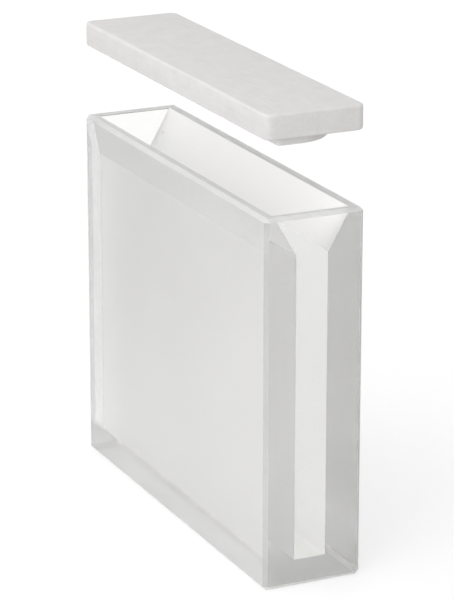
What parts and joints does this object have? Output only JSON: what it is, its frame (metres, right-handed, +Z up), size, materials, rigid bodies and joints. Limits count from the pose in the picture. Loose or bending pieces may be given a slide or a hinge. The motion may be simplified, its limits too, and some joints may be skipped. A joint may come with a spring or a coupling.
{
  "type": "cuvette",
  "caption": "Rectangular quartz absorption cell with clear end windows, a narrow chamber under a funnel mouth, and a flat stopper lid lifted off.",
  "frame": {"origin": "middle of the cell's base, where it stands", "axes": "+Z up; Y along the light path, with the entrance window facing -Y; X across the cell"},
  "size_m": [0.0126, 0.0524, 0.057],
  "materials": {
    "quartz_glass": "polished end windows, finely ground long sides, rim, base and bevels",
    "white_lid": "milled white fluoropolymer, matte and slightly translucent"
  },
  "bodies": {
    "root": {"cell": "quartz_glass", "lid": "white_lid"}
  },
  "joints": []
}
